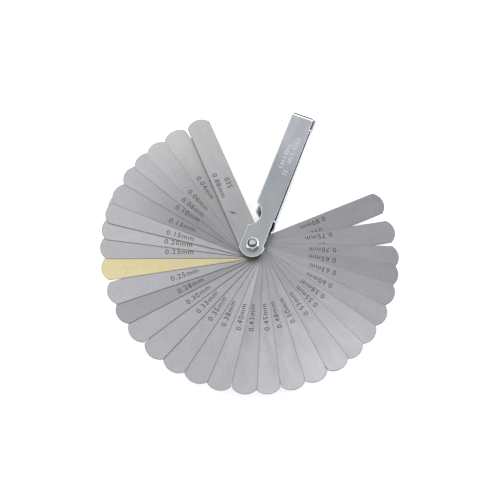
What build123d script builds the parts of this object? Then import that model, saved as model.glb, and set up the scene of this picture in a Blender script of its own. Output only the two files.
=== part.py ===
"""Pocket feeler gauge: 32 leaves on one screw, in a case folded from plated sheet steel.

Frame: millimetres, +Z along the pivot screw towards its nut, +Y along the case,
origin in the middle of the screw head's outer face.
The leaves are fanned anticlockwise from the open side of the case, all the way round to
the back of its spine. At rest each leaf lies in the direction given in LEAVES.
"""
import os
from math import sqrt

from build123d import *

# ---- leaves --------------------------------------------------------------------------
LEAF_WIDTH = 12.7  # half an inch
LEAF_REACH = 78.9  # from the pivot axis to the tip
TIP_RADIUS = 7.85  # the tip's arc is flatter than a half round, so it meets the sides at corners
TIP_CORNER = 0.8  # those corners, broken smooth
PIVOT_HOLE = 2.05  # radius, in the leaves and in both plates of the case
LAYER_GAP = 0.02  # air under each leaf and over the top one

# From the bottom of the stack to the top: name, thickness, and the direction that the leaf
# points in at rest, in degrees anticlockwise from +X. The case points at 90.
LEAVES = [
    ("blade_080", 0.80, 404.5),
    ("blade_075", 0.75, 391.0),
    ("blade_070", 0.70, 379.5),
    ("blade_065", 0.65, 371.5),
    ("blade_063", 0.63, 363.0),
    ("blade_060", 0.60, 353.0),
    ("blade_058", 0.58, 343.5),
    ("blade_055", 0.55, 334.5),
    ("blade_053", 0.53, 326.0),
    ("blade_050", 0.50, 316.0),
    ("blade_048", 0.48, 306.5),
    ("blade_045", 0.45, 296.5),
    ("blade_043", 0.43, 287.5),
    ("blade_040", 0.40, 277.5),
    ("blade_038", 0.38, 268.5),
    ("blade_035", 0.35, 259.0),
    ("blade_033", 0.33, 249.5),
    ("blade_030", 0.30, 239.5),
    ("blade_028", 0.28, 230.0),
    ("blade_025", 0.25, 221.0),
    ("blade_025_brass", 0.25, 210.5),
    ("blade_023", 0.23, 201.5),
    ("blade_020", 0.20, 193.5),
    ("blade_018", 0.18, 182.5),
    ("blade_015", 0.15, 186.5),
    ("blade_013", 0.13, 178.0),
    ("blade_010", 0.10, 168.5),
    ("blade_008", 0.08, 160.5),
    ("blade_006", 0.06, 153.0),
    ("blade_005", 0.05, 143.5),
    ("blade_004", 0.04, 143.0),
    ("blade_088", 0.88, 132.5),
]

# ---- case ----------------------------------------------------------------------------
SHEET = 0.7
EDGE_ROUND = 0.22  # sheared edges of the sheet, rounded over on the outside by tumbling
OPEN_SIDE_X = -6.1  # edge of both plates on the side where the leaves come out
BARE_EDGE_X = 5.9  # edge of both plates on the other side, where there is no spine
SPINE_OUTER_X = 7.15
SPINE_START_Y = 16.6  # the leaves swing past the spine below this
SPINE_END_Y = 75.0
BEND_RADIUS = 1.1  # outside of the two bends along the spine
LOBE_RADIUS = 6.8  # round end of both plates, about the pivot
LOBE_SHOULDER_Y = 0.8  # where the lobe steps in to the bare edge
END_OUTER_Y = 83.15
END_BEND_RADIUS = 2.75  # outside of the bend from the top plate down into the end wall
END_WALL_CLEARANCE = 0.15  # slit between the end wall and the bottom plate
NOTCH_RADIUS = 7.5
NOTCH_CENTRE = (-8.95, 17.15)  # thumb notch, cut through both plates
EAR_START_Y = 75.8  # the end wall's ear comes back along the side to here
EAR_OUTER_X = 7.5
EAR_CORNER = 1.1

# ---- screw and nut -------------------------------------------------------------------
SCREW_RADIUS = 2.0
HEAD_ACROSS_FLATS = 7.0
HEAD_HEIGHT = 2.8
NUT_ACROSS_FLATS = 6.35
NUT_HEIGHT = 2.8
NUT_SEAT_GAP = 0.02
NUT_MOUTH = 0.4  # countersink at both ends of the nut's bore
SCREW_STANDS_PROUD = 0.55
SCREW_END_CHAMFER = 0.4
HEX_EDGE_DROP = 0.35  # how far the chamfer cone comes down the corners
HEX_FACE_SHARE = 0.96  # the flat face's radius, as a share of half the distance across flats

TINY = 0.01  # slack for telling edges apart by where they are

# ---- heights that follow -------------------------------------------------------------
BOTTOM_PLATE_Z = HEAD_HEIGHT
CHANNEL_FLOOR_Z = BOTTOM_PLATE_Z + SHEET
STACK_HEIGHT = sum(thickness + LAYER_GAP for _, thickness, _ in LEAVES) + LAYER_GAP
CHANNEL_ROOF_Z = CHANNEL_FLOOR_Z + STACK_HEIGHT
CASE_TOP_Z = CHANNEL_ROOF_Z + SHEET
NUT_Z = CASE_TOP_Z + NUT_SEAT_GAP
SCREW_END_Z = NUT_Z + NUT_HEIGHT + SCREW_STANDS_PROUD


def write(piece, name):
    """Label a finished piece and write it to its own file."""
    piece.label = name
    export_step(piece, f"parts/{name}.step")


def make_leaf(name, thickness, underside_z, direction):
    """One leaf: round heel about the pivot, straight sides and an arched tip."""
    half = LEAF_WIDTH / 2
    corner_x = LEAF_REACH - TIP_RADIUS + sqrt(TIP_RADIUS**2 - half**2)
    along = Vector(1, 0, 0).rotate(Axis.Z, direction)
    with BuildPart() as leaf:
        with BuildSketch(Plane(origin=(0, 0, underside_z), x_dir=along, z_dir=(0, 0, 1))) as outline:
            with BuildLine():
                CenterArc((0, 0), half, 90, 180)
                Line((0, -half), (corner_x, -half))
                ThreePointArc((corner_x, -half), (LEAF_REACH, 0), (corner_x, half))
                Line((corner_x, half), (0, half))
            make_face()
            fillet(outline.vertices().group_by(Axis.X)[-1], TIP_CORNER)
            Circle(PIVOT_HOLE, mode=Mode.SUBTRACT)
        extrude(amount=thickness)
    write(leaf.part, name)


def plate_outline(far_end_y):
    """Draw one plate of the case into the open sketch: lobe, bare edge, notch and hole."""
    Circle(LOBE_RADIUS)
    with Locations((OPEN_SIDE_X, 0)):
        Rectangle(BARE_EDGE_X - OPEN_SIDE_X, far_end_y, align=Align.MIN)
    # The lobe is cut straight on the open side and steps in at its shoulder on the other.
    with Locations((OPEN_SIDE_X, 0)):
        Rectangle(LOBE_RADIUS, 3 * LOBE_RADIUS, align=(Align.MAX, Align.CENTER), mode=Mode.SUBTRACT)
    with Locations((BARE_EDGE_X, LOBE_SHOULDER_Y)):
        Rectangle(LOBE_RADIUS, 2 * LOBE_RADIUS, align=Align.MIN, mode=Mode.SUBTRACT)
    with Locations(NOTCH_CENTRE):
        Circle(NOTCH_RADIUS, mode=Mode.SUBTRACT)
    Circle(PIVOT_HOLE, mode=Mode.SUBTRACT)


def make_case():
    """Top plate, bottom plate, spine, end wall and ear, all one piece of folded sheet."""
    inner_bend = BEND_RADIUS - SHEET
    inner_end_bend = END_BEND_RADIUS - SHEET
    flat_end_y = END_OUTER_Y - END_BEND_RADIUS
    wall_foot_z = CHANNEL_FLOOR_Z + END_WALL_CLEARANCE
    bend_foot_z = CASE_TOP_Z - END_BEND_RADIUS
    with BuildPart() as case:
        with BuildSketch(Plane.XY.offset(BOTTOM_PLATE_Z)):
            plate_outline(END_OUTER_Y)
        extrude(amount=SHEET)
        with BuildSketch(Plane.XY.offset(CHANNEL_ROOF_Z)):
            plate_outline(flat_end_y)
        extrude(amount=SHEET)

        # Spine: a C-shaped fold that joins the edges of the two plates.
        with BuildSketch(Plane.XZ.offset(-SPINE_START_Y)) as fold:
            with Locations((SPINE_OUTER_X, BOTTOM_PLATE_Z)):
                Rectangle(
                    SPINE_OUTER_X - BARE_EDGE_X,
                    CASE_TOP_Z - BOTTOM_PLATE_Z,
                    align=(Align.MAX, Align.MIN),
                )
            fillet(fold.vertices().group_by(Axis.X)[-1], BEND_RADIUS)
            with BuildSketch(mode=Mode.PRIVATE) as hollow:
                with Locations((SPINE_OUTER_X - SHEET, CHANNEL_FLOOR_Z)):
                    Rectangle(
                        SPINE_OUTER_X - BARE_EDGE_X,
                        CHANNEL_ROOF_Z - CHANNEL_FLOOR_Z,
                        align=(Align.MAX, Align.MIN),
                    )
                fillet(hollow.vertices().group_by(Axis.X)[-1], inner_bend)
            add(hollow.sketch, mode=Mode.SUBTRACT)
        extrude(amount=-(SPINE_END_Y - SPINE_START_Y))

        # End wall: rolls down from the top plate.
        with BuildSketch(Plane.YZ.offset(OPEN_SIDE_X)):
            with BuildLine():
                Line((flat_end_y, CASE_TOP_Z), (flat_end_y, CHANNEL_ROOF_Z))
                inner = CenterArc((flat_end_y, bend_foot_z), inner_end_bend, 90, -90)
                Polyline(inner @ 1, (END_OUTER_Y - SHEET, wall_foot_z), (END_OUTER_Y, wall_foot_z),
                         (END_OUTER_Y, bend_foot_z))
                CenterArc((flat_end_y, bend_foot_z), END_BEND_RADIUS, 0, 90)
            make_face()
        extrude(amount=BARE_EDGE_X - OPEN_SIDE_X)

        # Ear: the straight part of the end wall goes on round the corner and back along the side.
        corner = (EAR_OUTER_X - EAR_CORNER, END_OUTER_Y - EAR_CORNER)
        with BuildSketch(Plane.XY.offset(wall_foot_z)):
            with BuildLine():
                outer = CenterArc(corner, EAR_CORNER, 90, -90)
                Polyline(outer @ 1, (EAR_OUTER_X, EAR_START_Y), (EAR_OUTER_X - SHEET, EAR_START_Y),
                         (EAR_OUTER_X - SHEET, corner[1]))
                inner = CenterArc(corner, EAR_CORNER - SHEET, 0, 90)
                Polyline(inner @ 1, (BARE_EDGE_X, END_OUTER_Y - SHEET), (BARE_EDGE_X, END_OUTER_Y),
                         outer @ 0)
            make_face()
        extrude(amount=bend_foot_z - wall_foot_z)

        # Round the outer rims of both plates, from the end wall round the lobe to the spine.
        top_face = case.faces().filter_by(Axis.Z).sort_by(Axis.Z)[-1]
        bottom_face = case.faces().filter_by(Axis.Z).sort_by(Axis.Z)[0]
        rims = (top_face.outer_wire().edges() + bottom_face.outer_wire().edges()).filter_by(
            lambda edge: (edge @ 0.5).X < BARE_EDGE_X + TINY and (edge @ 0.5).Y < flat_end_y - TINY
        )
        fillet(rims, EDGE_ROUND)
    write(case.part, "case")


def chamfer_cone(across_flats, low_z, high_z, low_cone, high_cone):
    """Turn a hexagon's corners down with a cone at its low end, its high end, or both."""
    corner = across_flats / sqrt(3)
    face = across_flats / 2 * HEX_FACE_SHARE
    low_face = face if low_cone else corner
    high_face = face if high_cone else corner
    with BuildSketch(Plane.XZ) as profile:
        with BuildLine():
            Polyline(
                (0, low_z),
                (low_face, low_z),
                (corner, low_z + HEX_EDGE_DROP),
                (corner, high_z - HEX_EDGE_DROP),
                (high_face, high_z),
                (0, high_z),
                close=True,
            )
        make_face()
    revolve(profile.sketch, axis=Axis.Z, mode=Mode.INTERSECT)


def make_screw():
    """Hexagon-headed screw: the head rests against the bottom plate."""
    with BuildPart() as screw:
        with BuildSketch():
            RegularPolygon(HEAD_ACROSS_FLATS / 2, 6, major_radius=False)
        extrude(amount=HEAD_HEIGHT)
        chamfer_cone(HEAD_ACROSS_FLATS, 0, HEAD_HEIGHT, True, False)
        with BuildSketch(Plane.XY.offset(HEAD_HEIGHT)):
            Circle(SCREW_RADIUS)
        extrude(amount=SCREW_END_Z - HEAD_HEIGHT)
        chamfer(screw.faces().sort_by(Axis.Z)[-1].edges(), SCREW_END_CHAMFER)
    write(screw.part, "screw")


def make_nut():
    """Hexagon nut with its bore countersunk at both ends."""
    with BuildPart() as nut:
        with BuildSketch(Plane.XY.offset(NUT_Z)):
            RegularPolygon(NUT_ACROSS_FLATS / 2, 6, major_radius=False)
        extrude(amount=NUT_HEIGHT)
        chamfer_cone(NUT_ACROSS_FLATS, NUT_Z, NUT_Z + NUT_HEIGHT, True, True)
        with BuildSketch(Plane.XY.offset(NUT_Z)):
            Circle(PIVOT_HOLE)
        extrude(amount=NUT_HEIGHT, mode=Mode.SUBTRACT)
        mouths = nut.edges().filter_by(GeomType.CIRCLE).sort_by(SortBy.RADIUS)[:2]
        chamfer(mouths, NUT_MOUTH)
    write(nut.part, "nut")


os.makedirs("parts", exist_ok=True)
make_case()
make_screw()
make_nut()
leaf_z = CHANNEL_FLOOR_Z + LAYER_GAP
for leaf_name, leaf_thickness, leaf_direction in LEAVES:
    make_leaf(leaf_name, leaf_thickness, leaf_z, leaf_direction)
    leaf_z += leaf_thickness + LAYER_GAP
print(f"channel {CHANNEL_FLOOR_Z:.2f} to {CHANNEL_ROOF_Z:.2f}, case top {CASE_TOP_Z:.2f}, "
      f"screw end {SCREW_END_Z:.2f}")
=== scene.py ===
"""Looks of the pocket feeler gauge: ground steel leaves with etched sizes, one brass leaf,
a bright plated case, and a threaded screw and nut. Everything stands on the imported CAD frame."""

import math
import random
from collections import namedtuple

import bmesh
import bpy
from mathutils import Matrix, Quaternion, Vector


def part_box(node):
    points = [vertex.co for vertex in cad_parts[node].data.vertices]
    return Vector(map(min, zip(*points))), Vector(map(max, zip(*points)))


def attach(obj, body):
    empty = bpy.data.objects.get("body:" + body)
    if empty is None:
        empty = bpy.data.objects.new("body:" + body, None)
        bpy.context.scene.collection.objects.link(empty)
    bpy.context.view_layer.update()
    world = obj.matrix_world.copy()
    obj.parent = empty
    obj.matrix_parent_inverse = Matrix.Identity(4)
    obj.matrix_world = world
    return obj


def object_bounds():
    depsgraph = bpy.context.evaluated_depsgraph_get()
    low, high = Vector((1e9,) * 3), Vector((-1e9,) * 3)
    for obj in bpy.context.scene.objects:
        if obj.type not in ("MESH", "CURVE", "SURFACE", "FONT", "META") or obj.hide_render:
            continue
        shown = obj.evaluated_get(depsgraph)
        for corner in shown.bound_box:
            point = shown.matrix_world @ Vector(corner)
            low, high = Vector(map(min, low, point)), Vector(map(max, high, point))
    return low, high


MM = 0.001

# ---- camera ----------------------------------------------------------------------------
CAMERA_AIM = (0.0, -2.8)  # mm from the pivot axis, on top of the stack of leaves
CAMERA_DISTANCE = 650.0
CAMERA_AZIMUTH = -76.8  # degrees anticlockwise from +X, seen from above
CAMERA_ELEVATION = 67.46
CAMERA_ROLL = 7.465
CAMERA_LENS = 89.86
CAMERA_SENSOR = 36.0
CAMERA_NEAR = 10.0  # nothing closer than this is drawn

# ---- studio ----------------------------------------------------------------------------
FLOOR_RADIUS = 2500.0
FLOOR_SEGMENTS = 96
FLOOR_WHITE = (0.93, 0.93, 0.93)
FLOOR_ROUGHNESS = 0.9
FLOOR_GLOSS = 0.1
FLOOR_GLOW = 0.55  # a light table, so that shadows stay faint
SKY_GREY = 0.30
SOFTBOX_DISTANCE = 900.0
SOFTBOX_SIDE = 600.0
SOFTBOXES = [  # name, azimuth, elevation, watts
    ("right_softbox", 45.0, 28.0, 4.6),
    ("left_softbox", 215.0, 50.0, 1.4),
    ("back_left_softbox", 150.0, 50.0, 0.8),
    ("back_softbox", 93.0, 28.0, 1.4),
    ("front_overhead", 283.0, 75.0, 0.9),
    ("back_overhead", 103.0, 75.0, 0.6),
]

# ---- noise -----------------------------------------------------------------------------
# Features per millimetre along and across the grain, octaves of detail, the seed that is added
# to the piece's own, and how far the layer changes the tone or the outline either way.
Layer = namedtuple("Layer", "along across detail seed tone")
LEAF_LINES = Layer(along=0.10, across=5.0, detail=3.0, seed=0.0, tone=0.06)
LEAF_MOTTLE = Layer(along=0.8, across=1.4, detail=4.0, seed=10.0, tone=0.08)
LEAF_CLOUD = Layer(along=0.07, across=0.16, detail=3.0, seed=20.0, tone=0.07)
PLATE_LINES = Layer(along=0.05, across=3.0, detail=2.0, seed=0.0, tone=0.03)
PLATE_PATCHES = Layer(along=0.07, across=0.14, detail=4.0, seed=5.0, tone=0.07)
PLATE_SPECKS = Layer(along=1.6, across=2.4, detail=2.0, seed=9.0, tone=0.025)
FIGURE_SPECKS = Layer(along=3.0, across=3.0, detail=2.0, seed=1.0, tone=0.275)
STAIN_RAGS = Layer(along=1.5, across=1.5, detail=2.0, seed=40.0, tone=0.25)
NOISE_SPAN = (0.25, 0.75)  # most noise values lie between these

# ---- finishes --------------------------------------------------------------------------
LEAF_SEED = 32  # for the small differences in tone from leaf to leaf
LEAF_ROUGHNESS = 0.40
BRASS_ROUGHNESS = 0.38
LEAF_ROUGHNESS_SWING = 0.04
LEAF_RELIEF = 0.0012  # mm deep
LEAF_GRAIN = 0.7  # how far the grinding lines stretch the highlights
STEEL = (0.445, 0.446, 0.474)
NEUTRAL_STEEL = (0.446, 0.446, 0.459)
STEEL_SIDES_AND_SEAM_SHADE = [(0.075, 0.075, 0.08), (0.15, 0.15, 0.155)]  # dull sheared sides, darkened further as painted shade in the seams between leaves; by turns up the stack
BRASS = (0.755, 0.67, 0.40)
# the brass leaf's dull sides, darkened further as painted seam shade
BRASS_SIDE_AND_SEAM_SHADE = (0.30, 0.22, 0.09)
BRASS_PAINTED_LIGHT = (0.98, 1.02)  # painted light along the leaf: tone by the pivot and at the tip
STEEL_PAINTED_LIGHT_AND_RIMS = [  # from this thickness: painted shade by the pivot and painted light at the tip, as two tones, and depth of the darker rim
    (0.88, (0.86, 1.16), (0.3, 0.4)),
    (0.63, (0.94, 0.95), (0.15, 0.35)),
    (0.60, (0.94, 0.98), (0.4, 0.5)),
    (0.43, (0.84, 1.17), (0.5, 0.85)),
    (0.15, (1.08, 1.15), (0.45, 0.8)),
    (0.13, (0.80, 1.28), (0.15, 0.25)),
    (0.08, (0.80, 1.30), (0.4, 0.5)),
    (0.0, (0.80, 1.30), (0.0, 0.08)),
]
PAINTED_LIGHT_START = 10.0  # where the painted light along a piece starts, in mm from the pivot
PAINTED_LIGHT_END = 80.0
THIN_BELOW = 0.15
THIN_PAINTED_LIGHT_SPAN = (25.0, 85.0)  # where the painted light along the leaf starts and ends on thinner leaves
LEAF_PAINTED_REFLECTION_TONES = {  # leaves that stand out from the rest: painted reflection, each leaf's brightness under these lights set into its colour
    "blade_070": 0.94,
    "blade_065": 0.90,
    "blade_063": 0.95,
    "blade_048": 0.94,
    "blade_043": 0.92,
    "blade_028": 0.79,
    "blade_020": 1.05,
    "blade_018": 1.05,
    "blade_013": 0.88,
    "blade_010": 0.88,
    "blade_008": 0.90,
    "blade_006": 0.96,
}
NEUTRAL_LEAVES = (4, 5, 6, 8, 15, 18, 20, 23, 30, 88)  # hundredths of a millimetre
LEAF_TONE_SPREAD = 0.02
TINTED_LEAF = "blade_004"
TIP_TINT = (0.457, 0.446, 0.453)  # the thinnest leaf's tip is faintly straw coloured
TINT_START = 45.0  # mm from the pivot
TINT_END = 80.0
TIP_RADIUS = 7.85
RIM_WIDTH = 0.35  # of the darker band along a leaf's sides and round its tip
STAINED_LEAF = "blade_088"
STAIN_MIDDLE = (20.8, 2.1)  # along and across the leaf
STAIN_HALF_SIZES = (3.2, 0.85)
STAIN_LEAN = 52.0  # from the leaf's direction
STAIN_DEPTH = 0.75
STAIN_HEIGHT = 1.0  # how far a stain or a nick's painted shade reaches up and down from the surface
NICK_SHADE_MIDDLE = (0.7, -1.1)  # painted shade of a nick in the screw's end
NICK_SHADE_HALF_SIZES = (1.0, 0.6)
NICK_SHADE_LEAN = 20.0
NICK_SHADE_DEPTH = 0.97
PLATE_ROUGHNESS = 0.26
PLATE_ROUGHNESS_SWINGS = (0.03, 0.06)  # with the drawing lines and with the patches
PLATE_RELIEF = 0.0009  # mm deep
PLATE_GRAIN = 0.35
PLATING = (0.408, 0.434, 0.465)
CASE_SEED = 3.0
# painted sheen: the case's plating grows brighter from the start towards its far end
CASE_PAINTED_SHEEN = (1.0, 1.48)
CASE_SHEEN_START = 40.0
# width of the painted highlight along the case's edges
CASE_EDGE_WIDTH = 0.9
INSIDE_SHADE_START_X = -5.6  # painted shade: the case's inside faces darken from here
INSIDE_SHADE_END_X = -3.0  # to here
INSIDE_SHADE_DEPTH = 0.65
INSIDE_SHADE_TILT = 0.3  # inside faces point up, down or away from the spine, to within this
SHEET = 0.7
FASTENER = (0.62, 0.64, 0.66)
FASTENER_SEEDS = {"nut": 7.0, "screw": 8.0}
FASTENER_PAINTED_LIGHT = (1.0, 1.0)
# width of the painted highlight along the nut's and screw's edges
FASTENER_EDGE_WIDTH = 0.22
BEVEL_SAMPLES = 16
EDGE_LEAN = (0.995, 0.97)  # cosine of the rounded edge's lean where the painted highlight starts and is full
EDGE_PAINTED_HIGHLIGHT = (0.93, 0.95, 0.96)  # painted highlight along the rounded edges
TONE_TOP = 2.5  # the brightest tone that a ramp can give
SIDE_TILT = 0.6  # a leaf's sides are less level than this
CASE_TILT_PAINTED_LIGHT = [  # painted highlights and shade on the case's bends: how level the surface is, from 0 upright to 1 level, and the painted tone there
    (0.30, 1.15),
    (0.42, 1.9),
    (0.50, 1.9),
    (0.55, 0.02),
    (0.96, 0.02),
    (0.975, 1.7),
    (0.997, 1.7),
    (0.9996, 1.0),
]
END_TILT_PAINTED_LIGHT = [  # the same painted highlights and shade, for faces that lean towards the case's far end
    (0.10, 1.0),
    (0.20, 0.6),
    (0.25, 0.02),
    (0.935, 0.02),
    (0.955, 1.9),
    (0.988, 1.9),
    (0.9995, 1.0),
]
# painted highlights on the nut's and screw's chamfers and painted shade on their steeper faces, by
# how level the surface is
FASTENER_TILT_PAINTED_LIGHT = [(0.30, 0.7), (0.40, 0.25), (0.78, 0.25), (0.84, 1.4), (0.965, 1.4), (0.995, 1.0)]
ETCH = (0.035, 0.035, 0.04)
ETCH_METALLIC = 0.2
ETCH_ROUGHNESS = 0.6
# painted highlight: the stamped letters are coloured brighter than the plating for the light they
# catch
STAMP_PAINTED_HIGHLIGHT = (0.80, 0.82, 0.84)
STAMP_METALLIC = 1.0
STAMP_ROUGHNESS = 0.35
FIGURE_TONE = 1.025

# ---- marks -----------------------------------------------------------------------------
MARK_BURIED = 0.004  # mm of each mark that sits in the surface, so that it has no gap under it
MARK_PROUD = 0.008
METRIC_START = 45.5  # mm from the pivot; the figures run from here towards it
METRIC_LENGTH = 14.6
METRIC_OFFSET = -3.1  # across the leaf from its centre line, clockwise
INCH_START = 41.0
INCH_FIGURE_PITCH = 2.05
INCH_OFFSET = 2.1
FIGURE_HEIGHT = 2.7
FIGURE_SPACING = 1.15
FIGURE_CURVE_STEPS = 3
FIGURE_WELD = 1e-4  # in the font's own units
INCH = 25.4
FINE_INCH_BELOW = 0.07  # thinner leaves are marked to half a thousandth
INCH_ROUNDING = 0.3  # other sizes are rounded up from this far past a whole thousandth
MARK_SLIPS = {  # leaves marked off the usual place: how far outwards, and how far clockwise
    "blade_075": (-0.5, -0.4),
    "blade_065": (-0.4, 0.0),
    "blade_063": (0.6, 0.5),
    "blade_060": (0.8, 0.5),
    "blade_058": (0.0, 0.5),
    "blade_053": (0.0, 0.5),
    "blade_050": (0.0, 1.1),
    "blade_048": (0.0, 1.1),
    "blade_043": (0.0, 1.1),
    "blade_038": (0.0, 0.7),
    "blade_035": (0.0, 0.6),
    "blade_033": (0.0, 0.6),
    "blade_025": (0.0, 0.6),
    "blade_023": (-0.4, 0.5),
    "blade_015": (-0.5, -0.3),
    "blade_010": (0.0, 0.7),
    "blade_008": (-0.5, 0.0),
    "blade_004": (3.1, 0.4),
}
CASE_DIRECTION = 90.0
STAMP_HEIGHT = 2.3
STAMPED_LINES = [  # text, middle of the line across the case, start and length along it
    ("0.04-0.88mm", -1.1, 47.5, 15.3),
    ("32 - .0015-.035in", 2.1, 44.2, 23.6),
]


def unit(azimuth, elevation=0.0):
    """Direction at this azimuth and elevation, in degrees."""
    a = math.radians(azimuth)
    e = math.radians(elevation)
    return Vector((math.cos(e) * math.cos(a), math.cos(e) * math.sin(a), math.sin(e)))


# ---- node helpers ----------------------------------------------------------------------
class Nodes:
    """A material's node tree with one Principled shader, and short ways to add to it."""

    def __init__(self, name, metallic, roughness):
        self.material = bpy.data.materials.new(name)
        self.material.use_nodes = True
        self.tree = self.material.node_tree
        self.shader = self.tree.nodes["Principled BSDF"]
        self.shader.inputs["Metallic"].default_value = metallic
        self.shader.inputs["Roughness"].default_value = roughness

    def add(self, kind, **settings):
        node = self.tree.nodes.new(kind)
        for key, value in settings.items():
            setattr(node, key, value)
        return node

    def link(self, source, target):
        self.tree.links.new(source, target)

    def coordinates(self, turn, scale):
        """Object coordinates turned about Z so that X runs along the piece, then scaled."""
        where = self.add("ShaderNodeTexCoord")
        turned = self.add("ShaderNodeVectorRotate", rotation_type="Z_AXIS")
        turned.inputs["Angle"].default_value = -math.radians(turn)
        self.link(where.outputs["Object"], turned.inputs["Vector"])
        scaled = self.add("ShaderNodeVectorMath", operation="MULTIPLY")
        scaled.inputs[1].default_value = scale
        self.link(turned.outputs["Vector"], scaled.inputs[0])
        return scaled.outputs["Vector"]

    def millimetres(self, turn=0.0):
        """Object coordinates in millimetres, turned about Z so that X runs along the piece."""
        return self.coordinates(turn, (1 / MM, 1 / MM, 1 / MM))

    def noise(self, turn, layer, seed=0.0):
        """One of the noise layers, with its grain along the piece."""
        texture = self.add("ShaderNodeTexNoise", noise_dimensions="4D")
        texture.inputs["Scale"].default_value = 1.0
        texture.inputs["Detail"].default_value = layer.detail
        texture.inputs["W"].default_value = seed + layer.seed
        scale = (layer.along / MM, layer.across / MM, layer.across / MM)
        self.link(self.coordinates(turn, scale), texture.inputs["Vector"])
        return texture.outputs["Fac"]

    def math(self, operation, first, second):
        node = self.add("ShaderNodeMath", operation=operation)
        for socket, value in zip(node.inputs, (first, second)):
            if isinstance(value, (int, float)):
                socket.default_value = value
            else:
                self.link(value, socket)
        return node.outputs["Value"]

    def remap(self, value, start, end, low=0.0, high=1.0, smooth=False):
        """Low where the value is at start, high where it is at end, and no further."""
        node = self.add("ShaderNodeMapRange")
        if smooth:
            node.interpolation_type = "SMOOTHSTEP"
        node.inputs["From Min"].default_value = start
        node.inputs["From Max"].default_value = end
        node.inputs["To Min"].default_value = low
        node.inputs["To Max"].default_value = high
        self.link(value, node.inputs["Value"])
        return node.outputs["Result"]

    def spread(self, noise, middle, swing):
        """Map noise to values up to this swing either way of the middle."""
        return self.remap(noise, *NOISE_SPAN, middle - swing, middle + swing)

    def normal(self):
        """The surface's normal, split into X, Y and Z."""
        geometry = self.add("ShaderNodeNewGeometry")
        split = self.add("ShaderNodeSeparateXYZ")
        self.link(geometry.outputs["Normal"], split.inputs["Vector"])
        return split.outputs

    def absolute(self, value):
        """The value without its sign."""
        return self.math("ABSOLUTE", value, 0.0)

    def mix(self, share, first, second):
        node = self.add("ShaderNodeMix", data_type="RGBA")
        self.link(share, node.inputs["Factor"])
        for name, value in (("A", first), ("B", second)):
            socket = [s for s in node.inputs if s.name == name and s.type == "RGBA"][0]
            if isinstance(value, tuple):
                socket.default_value = (*value, 1.0)
            else:
                self.link(value, socket)
        return [s for s in node.outputs if s.type == "RGBA"][0]

    def scaled_colour(self, colour, factor):
        """A colour times a varying factor."""
        node = self.add("ShaderNodeVectorMath", operation="SCALE")
        node.inputs[0].default_value = colour
        self.link(factor, node.inputs["Scale"])
        return node.outputs["Vector"]

    def along_share(self, start, end):
        """0 up to start and 1 from end, in millimetres from the pivot axis."""
        where = self.add("ShaderNodeTexCoord")
        flat = self.add("ShaderNodeVectorMath", operation="MULTIPLY")
        flat.inputs[1].default_value = (1.0, 1.0, 0.0)
        self.link(where.outputs["Object"], flat.inputs[0])
        reach = self.add("ShaderNodeVectorMath", operation="LENGTH")
        self.link(flat.outputs["Vector"], reach.inputs[0])
        return self.remap(reach.outputs["Value"], start * MM, end * MM, smooth=True)

    def side_share(self):
        """1 on upright faces and 0 on level ones."""
        return self.math("LESS_THAN", self.absolute(self.normal()["Z"]), SIDE_TILT)

    def painted_tilt_ramp(self, level, tilts):
        """The painted highlight and shade tone for how level the surface is."""
        ramp = self.add("ShaderNodeValToRGB")
        self.link(level, ramp.inputs["Fac"])
        points = ramp.color_ramp.elements
        points.remove(points[0])
        for index, (position, tone) in enumerate(tilts):
            point = points[0] if index == 0 else points.new(position)
            point.position = position
            point.color = (*[tone / TONE_TOP] * 3, 1.0)
        return self.math("MULTIPLY", ramp.outputs["Color"], TONE_TOP)

    def painted_tilt_light(self, tilts, end_tilts):
        """A painted highlight and shade tone that follows how level the surface is, with its own
        for faces towards +Y.
        """
        normal = self.normal()
        level = self.absolute(normal["Z"])
        endwards = self.math("GREATER_THAN", normal["Y"], self.absolute(normal["X"]))
        return self.mix(endwards, self.painted_tilt_ramp(level, tilts), self.painted_tilt_ramp(level, end_tilts))

    def rim_share(self, turn, reach, half, width):
        """1 at a leaf's sides and tip, down to 0 at this many millimetres inside them."""
        split = self.add("ShaderNodeSeparateXYZ")
        self.link(self.millimetres(turn), split.inputs["Vector"])
        across = self.absolute(split.outputs["Y"])
        beyond = self.math("SUBTRACT", split.outputs["X"], reach - TIP_RADIUS)
        beyond = self.math("MAXIMUM", beyond, 0.0)
        squares = self.math(
            "ADD", self.math("MULTIPLY", beyond, beyond), self.math("MULTIPLY", across, across)
        )
        tip = self.math("SUBTRACT", self.math("SQRT", squares, 0.0), TIP_RADIUS)
        side = self.math("SUBTRACT", across, half)
        return self.remap(self.math("MAXIMUM", tip, side), -width, 0.0)

    def stain_and_shade_tone(self, turn, middle, half_sizes, lean, depth):
        """1, and less inside an oval patch with soft ragged edges, for a stain and for a nick's
        painted shade; sizes in millimetres.
        """
        offset = self.add("ShaderNodeVectorMath", operation="SUBTRACT")
        offset.inputs[1].default_value = middle
        self.link(self.millimetres(turn), offset.inputs[0])
        leant = self.add("ShaderNodeVectorRotate", rotation_type="Z_AXIS")
        leant.inputs["Angle"].default_value = -math.radians(lean)
        self.link(offset.outputs["Vector"], leant.inputs["Vector"])
        shrunk = self.add("ShaderNodeVectorMath", operation="DIVIDE")
        shrunk.inputs[1].default_value = (*half_sizes, STAIN_HEIGHT)
        self.link(leant.outputs["Vector"], shrunk.inputs[0])
        reach = self.add("ShaderNodeVectorMath", operation="LENGTH")
        self.link(shrunk.outputs["Vector"], reach.inputs[0])
        ragged = self.spread(self.noise(turn, STAIN_RAGS), 0.0, STAIN_RAGS.tone)
        reach = self.math("ADD", reach.outputs["Value"], ragged)
        return self.remap(reach, 0.0, 1.0, 1.0 - depth, 1.0, smooth=True)

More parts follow.
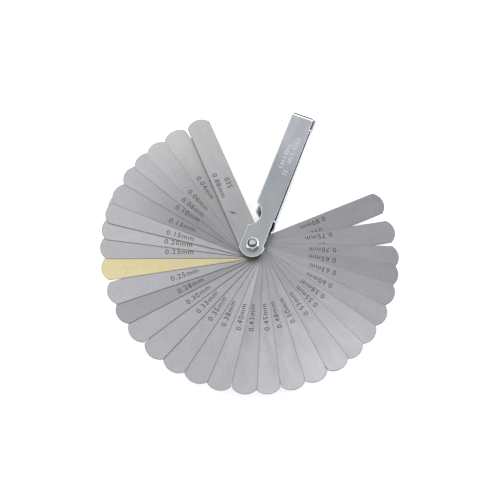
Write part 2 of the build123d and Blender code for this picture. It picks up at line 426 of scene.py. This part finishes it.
    def painted_inside_shade(self, low, high):
        """1 outside the case, and darker deeper in between its plates, as painted shade."""
        facing = self.normal()
        place = self.add("ShaderNodeSeparateXYZ")
        self.link(self.millimetres(), place.inputs["Vector"])
        inside = self.math("GREATER_THAN", place.outputs["Z"], low)
        for test in (
            self.math("LESS_THAN", place.outputs["Z"], high),
            self.math("LESS_THAN", facing["X"], INSIDE_SHADE_TILT),
            self.math("LESS_THAN", self.absolute(facing["Y"]), INSIDE_SHADE_TILT),
        ):
            inside = self.math("MULTIPLY", inside, test)
        deep = self.remap(place.outputs["X"], INSIDE_SHADE_START_X, INSIDE_SHADE_END_X, smooth=True)
        loss = self.math("MULTIPLY", inside, deep)
        return self.math("SUBTRACT", 1.0, self.math("MULTIPLY", loss, INSIDE_SHADE_DEPTH))

    def edge_highlight_mask(self, width):
        """Mask for the painted edge highlight: 1 along the piece's sharp edges, down to 0 at this
        many millimetres from them.
        """
        bevel = self.add("ShaderNodeBevel", samples=BEVEL_SAMPLES)
        bevel.inputs["Radius"].default_value = width * MM
        geometry = self.add("ShaderNodeNewGeometry")
        dot = self.add("ShaderNodeVectorMath", operation="DOT_PRODUCT")
        self.link(bevel.outputs["Normal"], dot.inputs[0])
        self.link(geometry.outputs["Normal"], dot.inputs[1])
        return self.remap(dot.outputs["Value"], *EDGE_LEAN)

    def painted_length_light(self, start, end, tones):
        """Painted light along the piece: the first tone up to start, and the second from end, in
        millimetres from the pivot.
        """
        return self.remap(self.along_share(start, end), 0.0, 1.0, *tones)

    def grain(self, direction, amount):
        """Stretch highlights across the grain, which runs in this direction on the piece."""
        self.shader.inputs["Anisotropic"].default_value = amount
        turned = self.add("ShaderNodeVectorTransform", vector_type="VECTOR")
        turned.convert_from = "OBJECT"
        turned.convert_to = "WORLD"
        turned.inputs["Vector"].default_value = unit(direction + 90.0)
        self.link(turned.outputs["Vector"], self.shader.inputs["Tangent"])

    def bump(self, height, depth):
        """Relief of this depth in millimetres."""
        node = self.add("ShaderNodeBump")
        node.inputs["Strength"].default_value = 1.0
        node.inputs["Distance"].default_value = depth * MM
        self.link(height, node.inputs["Height"])
        self.link(node.outputs["Normal"], self.shader.inputs["Normal"])


def layered_tone(nodes, broad, fine, finer):
    """A tone around 1 from three noise outputs, each given with its layer."""
    tone = nodes.spread(broad[0], 1.0, broad[1].tone)
    for noise, layer in (fine, finer):
        tone = nodes.math("ADD", tone, nodes.spread(noise, 0.0, layer.tone))
    return tone


def leaf_finish(
    name, shape, seed, colour, side_and_seam_shade, roughness, painted_length_light, rim, tip_colour=None, stain_and_shade=None
):
    """Ground strip: grinding lines along the leaf, soft mottling, painted light along its length,
    and dull sheared edges darkened further as painted seam shade.
    """
    direction, reach, half = shape
    nodes = Nodes(name, 1.0, roughness)
    lines = nodes.noise(direction, LEAF_LINES, seed)
    mottle = nodes.noise(direction, LEAF_MOTTLE, seed)
    cloud = nodes.noise(direction, LEAF_CLOUD, seed)
    tone = layered_tone(nodes, (cloud, LEAF_CLOUD), (lines, LEAF_LINES), (mottle, LEAF_MOTTLE))
    # painted shade by the pivot and painted light towards the tip
    tone = nodes.math("MULTIPLY", tone, nodes.painted_length_light(*painted_length_light))
    rim_darkening = nodes.math("MULTIPLY", nodes.rim_share(direction, reach, half, RIM_WIDTH), -rim)
    tone = nodes.math("MULTIPLY", tone, nodes.math("ADD", rim_darkening, 1.0))
    if stain_and_shade:
        tone = nodes.math("MULTIPLY", tone, nodes.stain_and_shade_tone(direction, *stain_and_shade))
    face = nodes.scaled_colour(colour, tone)
    if tip_colour:
        tip = nodes.scaled_colour(tip_colour, tone)
        face = nodes.mix(nodes.along_share(TINT_START, TINT_END), face, tip)
    # dull sides darkened further as painted seam shade
    nodes.link(nodes.mix(nodes.side_share(), face, side_and_seam_shade), nodes.shader.inputs["Base Color"])
    rough = nodes.math(
        "ADD",
        nodes.spread(lines, roughness, LEAF_ROUGHNESS_SWING),
        nodes.spread(cloud, 0.0, LEAF_ROUGHNESS_SWING),
    )
    nodes.link(rough, nodes.shader.inputs["Roughness"])
    nodes.bump(lines, LEAF_RELIEF)
    nodes.grain(direction, LEAF_GRAIN)
    return nodes.material


def plated_finish(
    name, colour, direction, seed, tilts, end_tilts, edge_width, painted_length_light, inside=None, stain_and_shade=None
):
    """Bright plating: faint drawing lines and patchy gloss, with painted highlights and shade on
    the bends and a painted highlight along the edges.
    """
    nodes = Nodes(name, 1.0, PLATE_ROUGHNESS)
    lines = nodes.noise(direction, PLATE_LINES, seed)
    patches = nodes.noise(direction, PLATE_PATCHES, seed)
    specks = nodes.noise(direction, PLATE_SPECKS, seed)
    tone = layered_tone(
        nodes, (patches, PLATE_PATCHES), (lines, PLATE_LINES), (specks, PLATE_SPECKS)
    )
    tone = nodes.math("MULTIPLY", tone, nodes.painted_length_light(*painted_length_light))
    # painted highlights and shade by how level the surface is
    painted_light_and_shade = nodes.painted_tilt_light(tilts, end_tilts)
    # painted shade inside the case
    if inside:
        painted_light_and_shade = nodes.math("MULTIPLY", painted_light_and_shade, nodes.painted_inside_shade(*inside))
    if stain_and_shade:
        painted_light_and_shade = nodes.math("MULTIPLY", painted_light_and_shade, nodes.stain_and_shade_tone(0.0, *stain_and_shade))
    capped = nodes.add("ShaderNodeVectorMath", operation="MINIMUM")
    capped.inputs[1].default_value = EDGE_PAINTED_HIGHLIGHT
    tone = nodes.math("MULTIPLY", tone, painted_light_and_shade)
    nodes.link(nodes.scaled_colour(colour, tone), capped.inputs[0])
    # painted highlight along the edges
    edge_highlighted = nodes.mix(nodes.edge_highlight_mask(edge_width), capped.outputs["Vector"], EDGE_PAINTED_HIGHLIGHT)
    nodes.link(edge_highlighted, nodes.shader.inputs["Base Color"])
    line_swing, patch_swing = PLATE_ROUGHNESS_SWINGS
    rough = nodes.math(
        "ADD",
        nodes.spread(lines, 0.0, line_swing),
        nodes.spread(patches, PLATE_ROUGHNESS, patch_swing),
    )
    nodes.link(rough, nodes.shader.inputs["Roughness"])
    nodes.bump(lines, PLATE_RELIEF)
    nodes.grain(direction, PLATE_GRAIN)
    return nodes.material


def mark_finish(name, colour, metallic, roughness):
    """Etched or stamped figures, a little uneven."""
    nodes = Nodes(name, metallic, roughness)
    tone = nodes.spread(nodes.noise(0.0, FIGURE_SPECKS), FIGURE_TONE, FIGURE_SPECKS.tone)
    nodes.link(nodes.scaled_colour(colour, tone), nodes.shader.inputs["Base Color"])
    return nodes.material


# ---- marks -----------------------------------------------------------------------------
def figures(name, text, length, height):
    """A flat closed mesh of the text, with its lower left corner at the origin, in metres."""
    curve = bpy.data.curves.new(name, "FONT")
    curve.body = text
    curve.extrude = 0.5  # any depth, as all three sizes are set below
    curve.resolution_u = FIGURE_CURVE_STEPS
    curve.space_character = FIGURE_SPACING
    holder = bpy.data.objects.new(name + "_curve", curve)
    bpy.context.scene.collection.objects.link(holder)
    evaluated = holder.evaluated_get(bpy.context.evaluated_depsgraph_get())
    mesh = bpy.data.meshes.new_from_object(evaluated)
    bpy.data.objects.remove(holder)
    bpy.data.curves.remove(curve)
    shape = bmesh.new()
    shape.from_mesh(mesh)
    bmesh.ops.remove_doubles(shape, verts=shape.verts, dist=FIGURE_WELD)
    low = [min(v.co[i] for v in shape.verts) for i in range(3)]
    high = [max(v.co[i] for v in shape.verts) for i in range(3)]
    size = (length * MM, height * MM, (MARK_BURIED + MARK_PROUD) * MM)
    for vert in shape.verts:
        vert.co = Vector(
            (vert.co[i] - low[i]) / (high[i] - low[i]) * size[i] for i in range(3)
        )
    bmesh.ops.recalc_face_normals(shape, faces=shape.faces)
    shape.to_mesh(mesh)
    shape.free()
    return mesh


def place_figures(mesh, reading, start, surface):
    """Turn a mesh from figures() to read in this direction from start, on a level surface."""
    along = unit(reading)
    across = Vector((0, 0, 1)).cross(along)
    turn = Matrix((along, across, Vector((0, 0, 1)))).transposed().to_4x4()
    move = Matrix.Translation((start.x, start.y, surface - MARK_BURIED * MM))
    mesh.transform(move @ turn)
    return mesh


def joined(name, meshes, material):
    """One object from several meshes."""
    shape = bmesh.new()
    for mesh in meshes:
        shape.from_mesh(mesh)
        bpy.data.meshes.remove(mesh)
    whole = bpy.data.meshes.new(name)
    shape.to_mesh(whole)
    shape.free()
    whole.materials.append(material)
    piece = bpy.data.objects.new(name, whole)
    bpy.context.scene.collection.objects.link(piece)
    return piece


def inch_text(thickness):
    """The thickness in thousandths of an inch, as the leaves are marked: 035 or 0015."""
    thousandths = thickness / INCH * 1000
    if thickness < FINE_INCH_BELOW:
        halves = round(thousandths * 2)
        return f"{halves * 5:04d}" if halves % 2 else f"{halves // 2:03d}"
    return f"{math.ceil(thousandths - INCH_ROUNDING):03d}"


def leaf_marks(node_name, direction, thickness, surface, material):
    """Metric size near the leaf's anticlockwise edge, and inch size beyond its centre line."""
    reading = direction + 180.0
    up = unit(reading + 90.0)
    along = unit(direction)
    outwards, aside = MARK_SLIPS.get(node_name, (0.0, 0.0))

    def corner(start, offset):
        return (along * (start + outwards) + up * (offset + aside - FIGURE_HEIGHT / 2)) * MM

    metric = figures("metric", f"{thickness:.2f}mm", METRIC_LENGTH, FIGURE_HEIGHT)
    place_figures(metric, reading, corner(METRIC_START, METRIC_OFFSET), surface)
    text = inch_text(thickness)
    inch = figures("inch", text, INCH_FIGURE_PITCH * len(text), FIGURE_HEIGHT)
    place_figures(inch, reading, corner(INCH_START, INCH_OFFSET), surface)
    piece = joined(node_name + "_marks", [metric, inch], material)
    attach(piece, node_name)


def case_stamp(surface, material):
    """The range of sizes, stamped along the case in two lines that read towards its far end."""
    meshes = []
    for text, across, start, length in STAMPED_LINES:
        mesh = figures("stamp", text, length, STAMP_HEIGHT)
        corner = Vector((across + STAMP_HEIGHT / 2, start, 0.0)) * MM
        meshes.append(place_figures(mesh, CASE_DIRECTION, corner, surface))
    piece = joined("case_stamp", meshes, material)
    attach(piece, "case")


# ---- studio ----------------------------------------------------------------------------
def make_floor(height):
    """A pale round floor under the gauge."""
    shape = bmesh.new()
    bmesh.ops.create_circle(
        shape, cap_ends=True, segments=FLOOR_SEGMENTS, radius=FLOOR_RADIUS * MM
    )
    mesh = bpy.data.meshes.new("floor")
    shape.to_mesh(mesh)
    shape.free()
    nodes = Nodes("floor_white", 0.0, FLOOR_ROUGHNESS)
    nodes.shader.inputs["Base Color"].default_value = (*FLOOR_WHITE, 1.0)
    nodes.shader.inputs["Specular IOR Level"].default_value = FLOOR_GLOSS
    nodes.shader.inputs["Emission Color"].default_value = (1.0, 1.0, 1.0, 1.0)
    nodes.shader.inputs["Emission Strength"].default_value = FLOOR_GLOW
    mesh.materials.append(nodes.material)
    floor = bpy.data.objects.new("floor", mesh)
    floor.location = (0, 0, height)
    bpy.context.scene.collection.objects.link(floor)


def make_sky():
    """Soft even surroundings."""
    world = bpy.data.worlds.new("studio")
    world.use_nodes = True
    world.node_tree.nodes["Background"].inputs["Color"].default_value = (*[SKY_GREY] * 3, 1.0)
    bpy.context.scene.world = world


def make_softboxes():
    """Square soft lights, all facing the pivot."""
    for name, azimuth, elevation, watts in SOFTBOXES:
        light = bpy.data.lights.new(name, "AREA")
        light.size = SOFTBOX_SIDE * MM
        light.energy = watts
        lamp = bpy.data.objects.new(name, light)
        direction = unit(azimuth, elevation)
        lamp.location = direction * SOFTBOX_DISTANCE * MM
        lamp.rotation_mode = "QUATERNION"
        lamp.rotation_quaternion = (-direction).to_track_quat("-Z", "Y")
        bpy.context.scene.collection.objects.link(lamp)


def make_camera(stack_top):
    """The camera, aimed near the pivot at the height of the topmost leaf."""
    data = bpy.data.cameras.new("camera")
    data.lens = CAMERA_LENS
    data.sensor_width = CAMERA_SENSOR
    data.clip_start = CAMERA_NEAR * MM
    camera = bpy.data.objects.new("camera", data)
    back = unit(CAMERA_AZIMUTH, CAMERA_ELEVATION)
    aim = Vector((CAMERA_AIM[0] * MM, CAMERA_AIM[1] * MM, stack_top))
    camera.location = aim + back * CAMERA_DISTANCE * MM
    camera.rotation_mode = "QUATERNION"
    roll = Quaternion((0, 0, 1), math.radians(CAMERA_ROLL))
    camera.rotation_quaternion = (-back).to_track_quat("-Z", "Y") @ roll
    bpy.context.scene.collection.objects.link(camera)
    bpy.context.scene.camera = camera


# ---- the gauge -------------------------------------------------------------------------
def dress(node, material):
    """Give a CAD node one material."""
    mesh = node.data
    if not mesh.materials:
        mesh.materials.append(material)
    for index in range(len(mesh.materials)):
        mesh.materials[index] = material


def leaf_shape(node):
    """A leaf's direction at rest in degrees, its reach and half its width in millimetres."""
    verts = [vert.co.xy for vert in node.data.vertices]
    reach = max(vert.length for vert in verts)
    middle = Vector((0, 0))
    for vert in verts:
        if vert.length > reach / 2:
            middle += vert.normalized()
    middle.normalize()
    half = max(abs(vert.cross(middle)) for vert in verts)
    return math.degrees(math.atan2(middle.y, middle.x)), reach / MM, half / MM


def steel_finish(name, shape, seed, thickness, tone, tones, rim, top):
    """The finish of one steel leaf, whose upper face is at this height in millimetres."""
    steel = NEUTRAL_STEEL if round(thickness * 100) in NEUTRAL_LEAVES else STEEL
    span = THIN_PAINTED_LIGHT_SPAN if thickness < THIN_BELOW else (PAINTED_LIGHT_START, PAINTED_LIGHT_END)
    stain_and_shade = None
    if name == STAINED_LEAF:
        stain_and_shade = ((*STAIN_MIDDLE, top), STAIN_HALF_SIZES, STAIN_LEAN, STAIN_DEPTH)
    return leaf_finish(
        name + "_steel",
        shape,
        seed,
        tuple(tone * c for c in steel),
        STEEL_SIDES_AND_SEAM_SHADE[seed % 2],
        LEAF_ROUGHNESS,
        (*span, tones),
        rim,
        tip_colour=TIP_TINT if name == TINTED_LEAF else None,
        stain_and_shade=stain_and_shade,
    )


def dress_leaves(cad_nodes):
    """Finish every leaf, from the bottom of the stack up, and mark the steel ones."""
    random.seed(LEAF_SEED)
    etch = mark_finish("etched_figures", ETCH, ETCH_METALLIC, ETCH_ROUGHNESS)
    names = [name for name in cad_nodes if name.startswith("blade_")]
    names.sort(key=lambda name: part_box(name)[0].z)
    for index, name in enumerate(names):
        shape = leaf_shape(cad_nodes[name])
        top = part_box(name)[1].z
        thickness = int(name.split("_")[1]) / 100
        # painted reflection per leaf, with a small random spread
        tone = LEAF_PAINTED_REFLECTION_TONES.get(name, 1.0) + random.uniform(-LEAF_TONE_SPREAD, LEAF_TONE_SPREAD)
        tones, depths = next(group[1:] for group in STEEL_PAINTED_LIGHT_AND_RIMS if thickness >= group[0])
        rim = random.uniform(*depths)
        if "brass" in name:
            painted_length_light = (PAINTED_LIGHT_START, PAINTED_LIGHT_END, BRASS_PAINTED_LIGHT)
            finish = leaf_finish(
                name + "_brass", shape, index, BRASS, BRASS_SIDE_AND_SEAM_SHADE, BRASS_ROUGHNESS, painted_length_light, rim
            )
        else:
            finish = steel_finish(name, shape, index, thickness, tone, tones, rim, top / MM)
            leaf_marks(name, shape[0], thickness, top, etch)
        dress(cad_nodes[name], finish)


def dress_case(node):
    """Plate the case, with painted shade on its inside, and stamp it."""
    low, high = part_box("case")
    finish = plated_finish(
        "case_plating",
        PLATING,
        CASE_DIRECTION,
        CASE_SEED,
        CASE_TILT_PAINTED_LIGHT,
        END_TILT_PAINTED_LIGHT,
        CASE_EDGE_WIDTH,
        (CASE_SHEEN_START, PAINTED_LIGHT_END, CASE_PAINTED_SHEEN),
        inside=(low.z / MM + SHEET / 2, high.z / MM - SHEET / 2),
    )
    dress(node, finish)
    case_stamp(high.z, mark_finish("stamped_figures", STAMP_PAINTED_HIGHLIGHT, STAMP_METALLIC, STAMP_ROUGHNESS))


def dress_fasteners(cad_nodes):
    """Plate the nut and the screw, with painted shade for a nick in the screw's end."""
    middle = (*NICK_SHADE_MIDDLE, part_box("screw")[1].z / MM)
    nick_shades = {"screw": (middle, NICK_SHADE_HALF_SIZES, NICK_SHADE_LEAN, NICK_SHADE_DEPTH)}
    for name, seed in FASTENER_SEEDS.items():
        finish = plated_finish(
            name + "_plating",
            FASTENER,
            0.0,
            seed,
            FASTENER_TILT_PAINTED_LIGHT,
            FASTENER_TILT_PAINTED_LIGHT,
            FASTENER_EDGE_WIDTH,
            (PAINTED_LIGHT_START, PAINTED_LIGHT_END, FASTENER_PAINTED_LIGHT),
            stain_and_shade=nick_shades.get(name),
        )
        dress(cad_nodes[name], finish)


# ---- build -----------------------------------------------------------------------------
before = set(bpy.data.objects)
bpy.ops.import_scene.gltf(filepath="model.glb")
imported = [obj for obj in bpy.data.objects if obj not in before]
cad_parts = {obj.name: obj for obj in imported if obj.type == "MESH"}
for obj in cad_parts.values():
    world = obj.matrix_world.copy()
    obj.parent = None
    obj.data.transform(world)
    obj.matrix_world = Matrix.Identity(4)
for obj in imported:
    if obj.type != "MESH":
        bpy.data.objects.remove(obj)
cad_low, cad_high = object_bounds()
dress_leaves(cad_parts)
dress_case(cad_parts["case"])
dress_fasteners(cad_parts)
make_floor(cad_low.z)
make_sky()
make_softboxes()
make_camera(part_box("blade_088")[1].z)
bpy.context.scene.view_settings.view_transform = "Standard"
